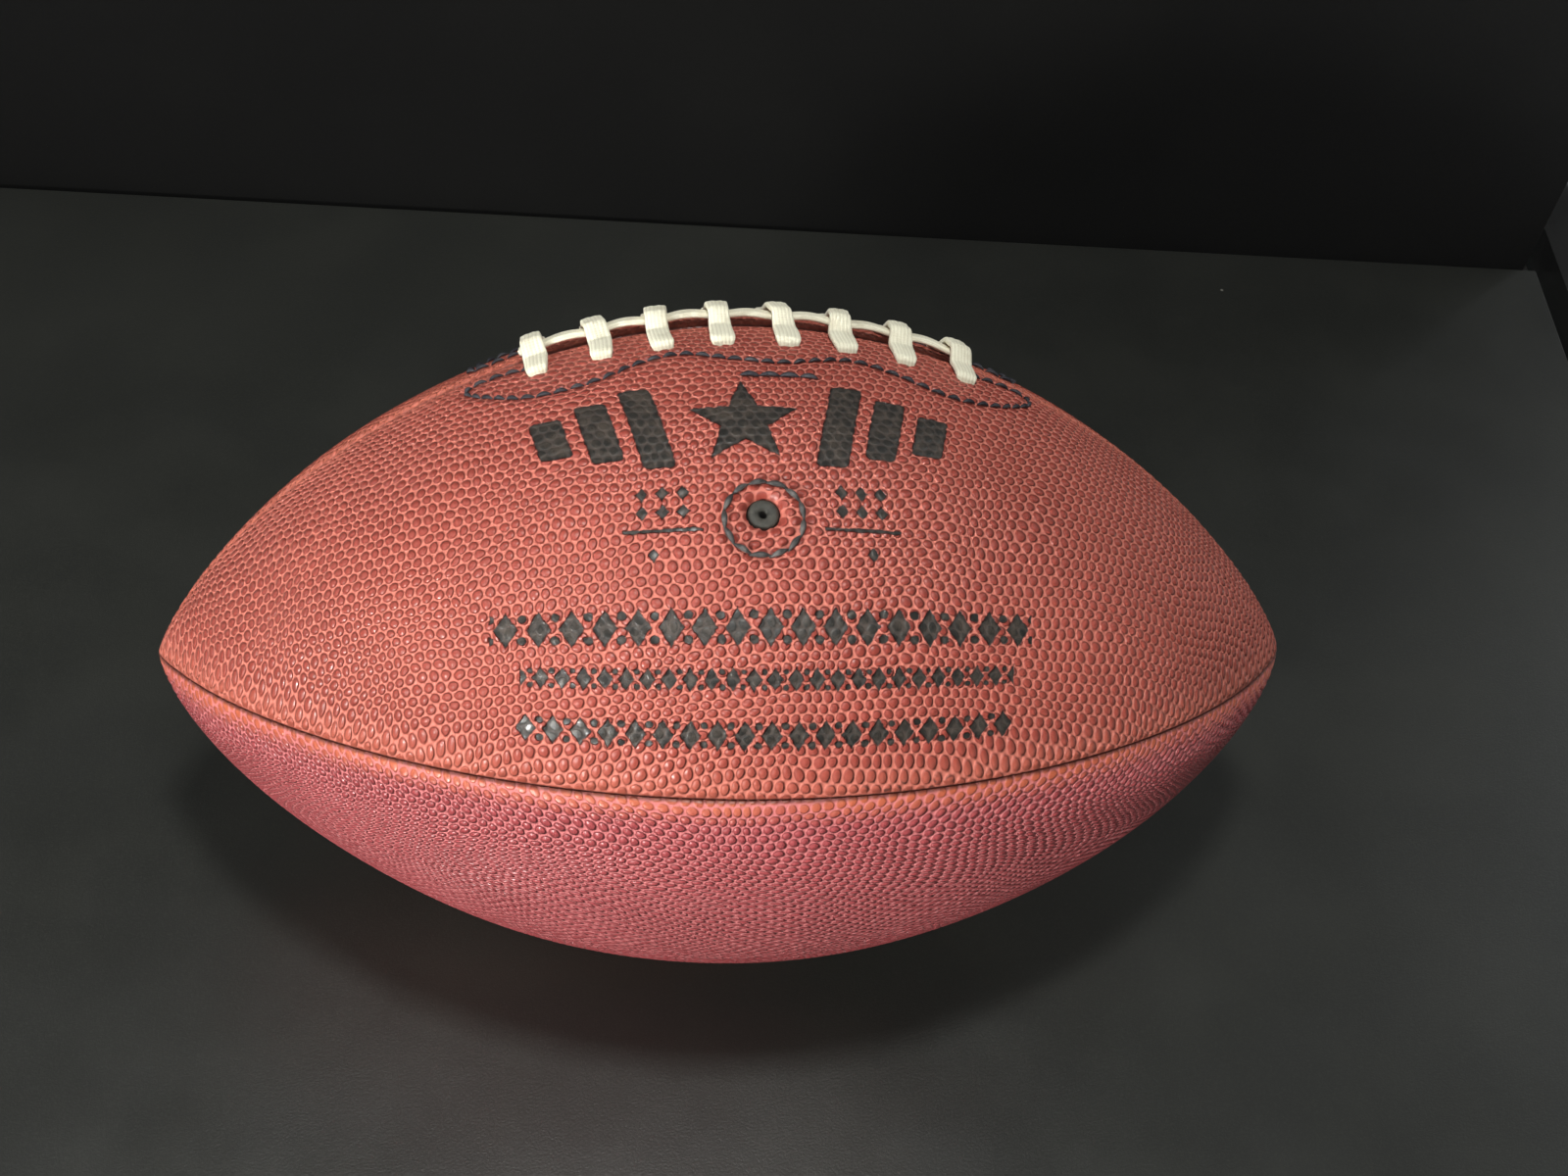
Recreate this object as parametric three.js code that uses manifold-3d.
// A laced leather football resting in a tabletop display case.
// The case is a black plinth with a rail round it, a raised deck with a dark floor panel, a black back
// panel on two brackets, and a clear five-sided cover that drops over the deck inside the rail.
// Millimetres, X along the width, the front towards -Y, Z up, z = 0 under the rubber feet.
import * as THREE from "three";
import { mergeVertices } from "three/addons/utils/BufferGeometryUtils.js";
import Module from "manifold-3d";

const wasm = await Module();
wasm.setup();

// Driving dimensions of the case.
const GAP = 0.3; // clearance between pieces that touch
const ROOM = { width: 620, depth: 510, height: 270 }; // the free space inside the cover
const ACRYLIC = 5; // thickness of every cover panel
const COVER_PLAY = 1; // clearance on each side of a cover wall in its groove
const RAIL = { width: 18, height: 20, round: 3 };
const FOOT = { radius: 18, topRadius: 16.5, height: 10, inset: 34, edge: 1, seatPlay: 1 };
const BASE_THICKNESS = 15;
const DECK_THICKNESS = 12;
const FLOOR_THICKNESS = 4;
const BACK = { width: 612, height: 262, thickness: 8, rearSpace: 22, shadowGap: 3 };
const BRACKET = { width: 20, leg: 18, thickness: 2, spread: 220, hole: 2.3, holeAt: 10.8 };
const FOOT_SCREW = { headRadius: 4.5, headHeight: 2.6, shankRadius: 2, shankLength: 16, recess: 4 };
const BRACKET_SCREW = { headRadius: 3.6, headHeight: 1.6, shankRadius: 1.7, shankLength: 7 };
const PILOT = { play: 0.3, deckDepth: 8, panelDepth: 5.5 }; // play is how much wider in radius than the screw
// A screw: flat is a share of its head radius, crown of its head height and point of its shank radius.
const SCREW_SHAPE = { flat: 0.7, crown: 0.35, point: 0.3 };

// Driving dimensions of the football.
const BALL = { halfLength: 142, radius: 85, bluntness: 1.96, fullness: 0.763 };
const SLACK = { depth: 0.083, angle: -24 }; // the lower front has sunk in by this share of the radius
const TIP_RATIO = 5 / 3; // a layer set in by 1 mm all round is set in by this much at the tips
const LEATHER = { thickness: 3, seamDip: 1.1, dipRadius: 30, seamGap: 0.4 };
const SLIT = { gap: 2, halfLength: 55, ease: 6 }; // where the lace closes the ball
const FACING = { inset: 4, thickness: 1.2, halfWidth: 22, halfLength: 60 };
const BLADDER = { inset: 5.8, wall: 1 };
const LACE = { width: 5.6, thickness: 1.6, pitch: 14.25, count: 8, reach: 14.6, flat: 3, foot: 9 };
const STRAND = { width: 5, height: 0.6 };
const VALVE = { angleFromLace: 46, radius: 3.4, hole: 3.75, bore: 0.9, sink: 1, depth: 15, round: 0.5 };
const BALL_YAW = 2.76; // degrees that the football is turned away from the back panel
const LACE_ANGLE = 120.7; // degrees round the long axis, from the level front, up and over to the rear
const BALL_TO_BACK = 254; // from the football's middle to the back panel's face

// How many flat faces stand for a full turn, or for a length.
const TURN_STEPS = { hole: 24, foot: 20, screw: 12, valve: 20, bladder: 20 };
const LAYER_STEPS = { leather: 24, facing: 12, facingRound: 6, strand: 20, strandRound: 2, cross: 16 };

// Heights and faces that follow from them.
const baseTop = FOOT.height + GAP + BASE_THICKNESS;
const deckBottom = baseTop + GAP;
const deckTop = deckBottom + DECK_THICKNESS;
const floorTop = deckTop + GAP + FLOOR_THICKNESS;
const roomTop = floorTop + ROOM.height;
const railInner = { x: ROOM.width / 2 + ACRYLIC + COVER_PLAY, y: ROOM.depth / 2 + ACRYLIC + COVER_PLAY };
const outer = { width: 2 * (railInner.x + RAIL.width), depth: 2 * (railInner.y + RAIL.width) };
const backFront = ROOM.depth / 2 - BACK.rearSpace - BACK.thickness;
const backRear = backFront + BACK.thickness;
const footCentre = { x: outer.width / 2 - FOOT.inset, y: outer.depth / 2 - FOOT.inset };

const radians = THREE.MathUtils.degToRad;
const smooth = (value, from, to) => THREE.MathUtils.smoothstep(value, from, to);

function finish(color, roughness, metalness = 0) {
  return new THREE.MeshStandardMaterial({ color, roughness, metalness });
}

const materials = {
  lacquer: finish(0x0d0d0c, 0.35),
  board: finish(0x1a1917, 0.8),
  plywood: finish(0x2a2621, 0.85),
  floor: finish(0x33352f, 0.55),
  backing: finish(0x0b0b09, 0.7),
  steel: finish(0x8c8c88, 0.35, 1),
  blackSteel: finish(0x161616, 0.45, 1),
  rubber: finish(0x151515, 0.9),
  leather: finish(0xb4604f, 0.5),
  lining: finish(0x3b3128, 0.9),
  bladder: finish(0x24221f, 0.7),
  valve: finish(0x4c483d, 0.75),
  lace: finish(0xddd8ba, 0.6),
};

// Acrylic is clear, so its material lets the display through.
function acrylicFinish() {
  const clear = finish(0xeef4f3, 0.05);
  clear.transparent = true;
  clear.opacity = 0.2;
  return clear;
}

function piece(group, name, geometry, material, position = [0, 0, 0], rotation = [0, 0, 0]) {
  const mesh = new THREE.Mesh(geometry, material);
  mesh.name = name;
  mesh.position.set(...position);
  mesh.rotation.set(...rotation);
  group.add(mesh);
  return mesh;
}

// A closed geometry as a manifold-3d solid, and back.
function solidOf(geometry) {
  const bare = new THREE.BufferGeometry();
  bare.setAttribute("position", geometry.getAttribute("position"));
  bare.setIndex(geometry.index);
  const merged = mergeVertices(bare, 1e-4);
  const vertProperties = merged.getAttribute("position").array;
  const triVerts = new Uint32Array(merged.index.array);
  return new wasm.Manifold(new wasm.Mesh({ numProp: 3, vertProperties, triVerts }));
}

function geometryOf(solid) {
  const mesh = solid.getMesh();
  const geometry = new THREE.BufferGeometry();
  geometry.setAttribute("position", new THREE.BufferAttribute(mesh.vertProperties, 3));
  geometry.setIndex(new THREE.BufferAttribute(mesh.triVerts, 1));
  geometry.computeVertexNormals();
  return geometry;
}

function cut(geometry, tools) {
  let solid = solidOf(geometry);
  for (const tool of tools) solid = solid.subtract(solidOf(tool));
  return geometryOf(solid);
}

// A round cutter along an axis, centred on a point.
function drill(radius, length, centre, axis) {
  const tool = new THREE.CylinderGeometry(radius, radius, length, TURN_STEPS.hole);
  const turn = new THREE.Quaternion().setFromUnitVectors(new THREE.Vector3(0, 1, 0), axis);
  tool.applyQuaternion(turn);
  tool.translate(...centre);
  return tool;
}

// A length of one section along X: the outline's first axis runs along Y and its second along Z.
const alongX = new THREE.Matrix4().makeBasis(
  new THREE.Vector3(0, 1, 0),
  new THREE.Vector3(0, 0, 1),
  new THREE.Vector3(1, 0, 0),
);

function profileAlongX(section, length) {
  const options = { depth: length, steps: 1, bevelEnabled: false, curveSegments: 4 };
  const geometry = new THREE.ExtrudeGeometry(section, options);
  geometry.translate(0, 0, -length / 2);
  return geometry.applyMatrix4(alongX);
}

// A turned piece: its outline is a list of [radius, height], and its axis is Z.
function turned(outline, segments) {
  const points = outline.map(([radius, height]) => new THREE.Vector2(radius, height));
  return new THREE.LatheGeometry(points, segments).rotateX(Math.PI / 2);
}

// A pan-head screw along Z: its head's seat is at z = 0 and its shank points up.
function screwGeometry({ headRadius, headHeight, shankRadius, shankLength }) {
  return turned(
    [
      [0, -headHeight],
      [headRadius * SCREW_SHAPE.flat, -headHeight],
      [headRadius, -headHeight * (1 - SCREW_SHAPE.crown)],
      [headRadius, 0],
      [shankRadius, 0],
      [shankRadius, shankLength - shankRadius],
      [shankRadius * SCREW_SHAPE.point, shankLength],
      [0, shankLength],
    ],
    TURN_STEPS.screw,
  );
}

// A foot is a rubber ring: its screw head sits in the wide hole below and its shank passes the narrow one.
function footGeometry() {
  const seat = FOOT_SCREW.headRadius + FOOT.seatPlay;
  const bore = FOOT_SCREW.shankRadius + PILOT.play;
  return turned(
    [
      [seat, 0],
      [FOOT.radius - FOOT.edge, 0],
      [FOOT.radius, FOOT.edge],
      [FOOT.topRadius, FOOT.height],
      [bore, FOOT.height],
      [bore, FOOT_SCREW.recess],
      [seat, FOOT_SCREW.recess],
      [seat, 0],
    ],
    TURN_STEPS.foot,
  );
}

// The four corners, named from the front.
const corners = [
  { name: "front_left", x: -1, y: -1 },
  { name: "front_right", x: 1, y: -1 },
  { name: "rear_left", x: -1, y: 1 },
  { name: "rear_right", x: 1, y: 1 },
];

function addFeet(group) {
  for (const corner of corners) {
    const x = corner.x * footCentre.x;
    const y = corner.y * footCentre.y;
    piece(group, `foot_${corner.name}`, footGeometry(), materials.rubber, [x, y, 0]);
    const seatHeight = FOOT_SCREW.recess - GAP;
    piece(group, `foot_screw_${corner.name}`, screwGeometry(FOOT_SCREW), materials.steel, [x, y, seatHeight]);
  }
}

// The board under everything, with a hole for each foot screw.
function addBaseBoard(group) {
  const outline = new THREE.Shape();
  const halfWidth = outer.width / 2;
  const halfDepth = outer.depth / 2;
  outline.moveTo(-halfWidth, -halfDepth);
  outline.lineTo(halfWidth, -halfDepth);
  outline.lineTo(halfWidth, halfDepth);
  outline.lineTo(-halfWidth, halfDepth);
  outline.closePath();
  for (const corner of corners) {
    const hole = new THREE.Path();
    const radius = FOOT_SCREW.shankRadius + PILOT.play;
    hole.absarc(corner.x * footCentre.x, corner.y * footCentre.y, radius, 0, 2 * Math.PI, true);
    outline.holes.push(hole);
  }
  const options = { depth: BASE_THICKNESS, bevelEnabled: false, curveSegments: TURN_STEPS.screw };
  const geometry = new THREE.ExtrudeGeometry(outline, options);
  piece(group, "base_board", geometry, materials.board, [0, 0, FOOT.height + GAP]);
}

// A rail with mitred ends, along X, its outer face at y = 0 and its inner face at y = RAIL.width.
function railGeometry(length) {
  const section = new THREE.Shape();
  section.moveTo(0, 0);
  section.lineTo(RAIL.width, 0);
  section.lineTo(RAIL.width, RAIL.height);
  section.lineTo(RAIL.round, RAIL.height);
  section.absarc(RAIL.round, RAIL.height - RAIL.round, RAIL.round, Math.PI / 2, Math.PI, false);
  section.closePath();
  const geometry = profileAlongX(section, length);
  const place = geometry.getAttribute("position");
  for (let i = 0; i < place.count; i++) {
    const end = Math.sign(place.getX(i));
    place.setX(i, end * (length / 2 - GAP - place.getY(i)));
  }
  return geometry;
}

function addRails(group) {
  const halfWidth = outer.width / 2;
  const halfDepth = outer.depth / 2;
  const sides = [
    { name: "rail_front", length: outer.width, x: 0, y: -halfDepth, turn: 0 },
    { name: "rail_right", length: outer.depth, x: halfWidth, y: 0, turn: 90 },
    { name: "rail_rear", length: outer.width, x: 0, y: halfDepth, turn: 180 },
    { name: "rail_left", length: outer.depth, x: -halfWidth, y: 0, turn: 270 },
  ];
  for (const side of sides) {
    const position = [side.x, side.y, baseTop + GAP];
    const rotation = [0, 0, radians(side.turn)];
    piece(group, side.name, railGeometry(side.length), materials.lacquer, position, rotation);
  }
}

const up = new THREE.Vector3(0, 0, 1);
const rearward = new THREE.Vector3(0, 1, 0);

// Where each bracket's screws go: one down into the deck and one forward into the back panel.
const brackets = [
  { name: "left", x: -BRACKET.spread },
  { name: "right", x: BRACKET.spread },
].map((side) => ({
  ...side,
  deckScrew: [side.x, backRear + GAP + BRACKET.holeAt, deckTop],
  panelScrew: [side.x, backRear, deckTop + GAP + BRACKET.holeAt],
}));

function addDeck(group) {
  const width = ROOM.width - 2 * COVER_PLAY;
  const depth = ROOM.depth - 2 * COVER_PLAY;
  const board = new THREE.BoxGeometry(width, depth, DECK_THICKNESS);
  board.translate(0, 0, deckBottom + DECK_THICKNESS / 2);
  const pilot = BRACKET_SCREW.shankRadius + PILOT.play;
  const pilots = brackets.map((side) => drill(pilot, 2 * PILOT.deckDepth, side.deckScrew, up));
  piece(group, "deck_board", cut(board, pilots), materials.plywood);

  const floorRear = backFront - BACK.shadowGap;
  const floorDepth = floorRear + depth / 2;
  const floor = new THREE.BoxGeometry(width, floorDepth, FLOOR_THICKNESS);
  const middle = floorRear - floorDepth / 2;
  piece(group, "floor_panel", floor, materials.floor, [0, middle, floorTop - FLOOR_THICKNESS / 2]);
}

function addBackPanel(group) {
  const panel = new THREE.BoxGeometry(BACK.width, BACK.thickness, BACK.height);
  panel.translate(0, backFront + BACK.thickness / 2, deckTop + GAP + BACK.height / 2);
  const pilot = BRACKET_SCREW.shankRadius + PILOT.play;
  const pilots = brackets.map((side) => drill(pilot, 2 * PILOT.panelDepth, side.panelScrew, rearward));
  piece(group, "back_panel", cut(panel, pilots), materials.backing);
}

// An angle bracket behind the back panel, one leg on the deck and one on the panel.
function bracketGeometry(side) {
  const section = new THREE.Shape();
  section.moveTo(0, 0);
  section.lineTo(BRACKET.leg, 0);
  section.lineTo(BRACKET.leg, BRACKET.thickness);
  section.lineTo(BRACKET.thickness, BRACKET.thickness);
  section.lineTo(BRACKET.thickness, BRACKET.leg);
  section.lineTo(0, BRACKET.leg);
  section.closePath();
  const angle = profileAlongX(section, BRACKET.width);
  angle.translate(side.x, backRear + GAP, deckTop + GAP);
  const holes = [
    drill(BRACKET.hole, 4 * BRACKET.thickness, side.deckScrew, up),
    drill(BRACKET.hole, 4 * BRACKET.thickness, side.panelScrew, rearward),
  ];
  return cut(angle, holes);
}

function addBrackets(group) {
  const seat = 2 * GAP + BRACKET.thickness; // from a screwed face to the underside of the screw's head
  for (const side of brackets) {
    piece(group, `back_bracket_${side.name}`, bracketGeometry(side), materials.blackSteel);
    const [deckX, deckY, deckZ] = side.deckScrew;
    const down = screwGeometry(BRACKET_SCREW);
    const downAt = [deckX, deckY, deckZ + seat];
    piece(group, `deck_screw_${side.name}`, down, materials.steel, downAt, [Math.PI, 0, 0]);
    const [panelX, panelY, panelZ] = side.panelScrew;
    const forward = screwGeometry(BRACKET_SCREW);
    const forwardAt = [panelX, panelY + seat, panelZ];
    piece(group, `panel_screw_${side.name}`, forward, materials.steel, forwardAt, [Math.PI / 2, 0, 0]);
  }
}

// The cover: four walls that reach down into the groove inside the rail, and a top cemented on them.
function addCover(group) {
  const clear = acrylicFinish();
  const wallBottom = deckBottom;
  const wallHeight = roomTop - GAP - wallBottom;
  const wallMiddle = wallBottom + wallHeight / 2;
  const width = ROOM.width + 2 * ACRYLIC;
  const depth = ROOM.depth + 2 * ACRYLIC;
  const sideDepth = ROOM.depth - 2 * GAP;
  const longWall = () => new THREE.BoxGeometry(width, ACRYLIC, wallHeight);
  const sideWall = () => new THREE.BoxGeometry(ACRYLIC, sideDepth, wallHeight);
  const frontY = (ROOM.depth + ACRYLIC) / 2;
  const sideX = (ROOM.width + ACRYLIC) / 2;
  piece(group, "cover_front", longWall(), clear, [0, -frontY, wallMiddle]);
  piece(group, "cover_rear", longWall(), clear, [0, frontY, wallMiddle]);
  piece(group, "cover_left", sideWall(), clear, [-sideX, 0, wallMiddle]);
  piece(group, "cover_right", sideWall(), clear, [sideX, 0, wallMiddle]);
  const top = new THREE.BoxGeometry(width, depth, ACRYLIC);
  piece(group, "cover_top", top, clear, [0, 0, roomTop + ACRYLIC / 2]);
}

// The football is drawn in its own frame: its long axis is X, and an angle round that axis is counted
// from the level front (-Y) up towards +Z. u runs from -1 at one tip to 1 at the other.
const laceAngle = radians(LACE_ANGLE);
const slackAngle = radians(SLACK.angle);

// The share of the radius left at an angle, where the lower front has sunk in a little.
function slack(angle, u) {
  const facing = Math.max(Math.cos(angle - slackAngle), 0);
  return 1 - SLACK.depth * facing ** 2 * (1 - u ** 4);
}

// The football's outline drawn in by an inset: its half length and its radius at u.
function halfLengthAt(inset) {
  return BALL.halfLength - TIP_RATIO * inset;
}

function radiusAt(u, inset) {
  const full = Math.max(1 - Math.abs(u) ** BALL.bluntness, 0) ** BALL.fullness;
  return (BALL.radius - inset) * full;
}

function pointAt(x, radius, angle) {
  return new THREE.Vector3(x, -radius * Math.cos(angle), radius * Math.sin(angle));
}

// A point on the layer with an inset, at x along the football.
function layerPoint(x, angle, inset) {
  const u = x / halfLengthAt(inset);
  return pointAt(x, radiusAt(u, inset) * slack(angle, u), angle);
}

// A patch of the football: a box bent so that place(s, t, outside) gives each corner, with s along the
// football from 0 to 1 and t round it.
function bentPatch(alongSteps, roundSteps, place) {
  const box = new THREE.BoxGeometry(1, 1, 1, alongSteps, roundSteps, 1);
  const corner = box.getAttribute("position");
  for (let i = 0; i < corner.count; i++) {
    const point = place(corner.getX(i) + 0.5, corner.getY(i) + 0.5, corner.getZ(i) > 0);
    corner.setXYZ(i, point.x, point.y, point.z);
  }
  return box;
}

// The four leather panels, each a quarter of the round from its first seam on. The lacing slit is the
// seam between the two upper panels.
const quarter = Math.PI / 2;
const panels = [
  { name: "leather_upper_front", seam: laceAngle - quarter, slitFirst: false, slitLast: true },
  { name: "leather_upper_rear", seam: laceAngle, slitFirst: true, slitLast: false },
  { name: "leather_lower_rear", seam: laceAngle + quarter, slitFirst: false, slitLast: false },
  { name: "leather_lower_front", seam: laceAngle + 2 * quarter, slitFirst: false, slitLast: false },
];

// How far a panel's edge stays back from its seam: more where the lacing slit is.
function setback(x, slit) {
  const open = slit ? 1 - smooth(Math.abs(x), SLIT.halfLength - SLIT.ease, SLIT.halfLength + SLIT.ease) : 0;
  return (LEATHER.seamGap + (SLIT.gap - LEATHER.seamGap) * open) / 2;
}

// The columns round a panel are closer at its edges, where the leather rolls down to meet its neighbour.
const columns = [0, 0.03, 0.15, 0.29, 0.43, 0.57, 0.71, 0.85, 0.97, 1];
const TIP_TURN = 0.96; // how near the panels come to the tips, as a share of a quarter turn

function leatherGeometry(panel) {
  const lastColumn = columns.length - 1;
  return bentPatch(LAYER_STEPS.leather, lastColumn, (s, t, outside) => {
    const inset = outside ? 0 : LEATHER.thickness;
    const u = Math.sin((2 * s - 1) * TIP_TURN * quarter);
    const x = u * halfLengthAt(inset);
    const round = radiusAt(u, inset);
    const first = panel.seam + setback(x, panel.slitFirst) / round;
    const last = panel.seam + quarter - setback(x, panel.slitLast) / round;
    const column = columns[Math.round(t * lastColumn)];
    const angle = first + column * (last - first);
    const atEdge = outside && (column === 0 || column === 1);
    const dip = atEdge ? LEATHER.seamDip * Math.min(round / LEATHER.dipRadius, 1) : 0;
    return pointAt(x, round * slack(angle, u) - dip, angle);
  });
}

const valveAngle = laceAngle - radians(VALVE.angleFromLace);
const valveAxis = pointAt(0, 1, valveAngle);

function valveHole() {
  const middle = valveAxis.clone().multiplyScalar(BALL.radius - VALVE.depth / 2);
  return drill(VALVE.hole, 2 * VALVE.depth, middle.toArray(), valveAxis);
}

function addLeather(group) {
  for (const panel of panels) {
    const whole = leatherGeometry(panel);
    const geometry = panel.slitLast ? cut(whole, [valveHole()]) : whole;
    piece(group, panel.name, geometry, materials.leather);
  }
}

// A solid of the football's round shape at an inset, before any slack is given to it.
function roundBody(inset, steps) {
  const outline = [];
  for (let row = 0; row <= steps; row++) {
    const u = Math.sin(((2 * row) / steps - 1) * quarter);
    const radius = row === 0 || row === steps ? 0 : radiusAt(u, inset);
    outline.push(new THREE.Vector2(radius, u * halfLengthAt(inset)));
  }
  return new THREE.LatheGeometry(outline, steps).rotateZ(-quarter);
}

// The bladder is a thin hollow skin inside the panels, open only where the valve goes in.
function bladderGeometry() {
  const skin = roundBody(BLADDER.inset, TURN_STEPS.bladder);
  const hollow = roundBody(BLADDER.inset + BLADDER.wall, TURN_STEPS.bladder);
  const bladder = cut(skin, [hollow, valveHole()]);
  const place = bladder.getAttribute("position");
  for (let i = 0; i < place.count; i++) {
    const [x, y, z] = [place.getX(i), place.getY(i), place.getZ(i)];
    const left = slack(Math.atan2(z, -y), x / halfLengthAt(BLADDER.inset));
    place.setXYZ(i, x, y * left, z * left);
  }
  return bladder;
}

// The valve is a rubber plug with a needle bore, sunk a little below the leather.
function valveGeometry() {
  const { radius, bore, depth, round } = VALVE;
  return turned(
    [
      [bore, -depth],
      [radius - round, -depth],
      [radius, -depth + round],
      [radius, -round],
      [radius - round, 0],
      [bore + round, 0],
      [bore, -2 * round],
      [bore, -depth],
    ],
    TURN_STEPS.valve,
  );
}

function addInside(group) {
  piece(group, "bladder", bladderGeometry(), materials.bladder);
  const seat = valveAxis.clone().multiplyScalar(BALL.radius - VALVE.sink);
  const lean = [quarter - valveAngle, 0, 0];
  piece(group, "valve", valveGeometry(), materials.valve, seat.toArray(), lean);
  const facing = bentPatch(LAYER_STEPS.facing, LAYER_STEPS.facingRound, (s, t, outside) => {
    const inset = FACING.inset + (outside ? 0 : FACING.thickness);
    const x = (2 * s - 1) * FACING.halfLength;
    const angle = laceAngle + ((2 * t - 1) * FACING.halfWidth) / BALL.radius;
    return layerPoint(x, angle, inset);
  });
  piece(group, "lace_facing", facing, materials.lining);
}

// The lace: one flat strand along the slit, and crosspieces that climb over it from hole to hole.
function addLaces(group) {
  const strandHalfLength = (LACE.pitch * (LACE.count - 1) + LACE.width) / 2;
  const strand = bentPatch(LAYER_STEPS.strand, LAYER_STEPS.strandRound, (s, t, outside) => {
    const x = (2 * s - 1) * strandHalfLength;
    const angle = laceAngle + ((t - 0.5) * STRAND.width) / BALL.radius;
    return layerPoint(x, angle, -STRAND.height - (outside ? LACE.thickness : 0));
  });
  piece(group, "lace_strand", strand, materials.lace);
  const climb = STRAND.height + LACE.thickness;
  for (let i = 0; i < LACE.count; i++) {
    const middle = (i - (LACE.count - 1) / 2) * LACE.pitch;
    const cross = bentPatch(1, LAYER_STEPS.cross, (s, t, outside) => {
      const x = middle + (s - 0.5) * LACE.width;
      const reach = (2 * t - 1) * LACE.reach;
      const lift = climb * (1 - smooth(Math.abs(reach), LACE.flat, LACE.foot));
      const angle = laceAngle + reach / BALL.radius;
      return layerPoint(x, angle, -GAP - lift - (outside ? LACE.thickness : 0));
    });
    piece(group, `lace_cross_${i + 1}`, cross, materials.lace);
  }
}

// How far below the football's long axis its lowest point lies.
function ballDrop() {
  let drop = 0;
  for (let step = 0; step <= 180; step++) {
    const angle = -radians(step);
    drop = Math.max(drop, -Math.sin(angle) * BALL.radius * slack(angle, 0));
  }
  return drop;
}

function makeCase() {
  const group = new THREE.Group();
  addFeet(group);
  addBaseBoard(group);
  addRails(group);
  addDeck(group);
  addBackPanel(group);
  addBrackets(group);
  return group;
}

function makeCover() {
  const group = new THREE.Group();
  addCover(group);
  return group;
}

function makeFootball() {
  const group = new THREE.Group();
  addLeather(group);
  addInside(group);
  addLaces(group);
  group.position.set(0, backFront - BALL_TO_BACK, floorTop + GAP + ballDrop());
  group.rotation.z = radians(BALL_YAW);
  return group;
}

const display = new THREE.Group();
display.add(makeCase(), makeCover(), makeFootball());

export default display;
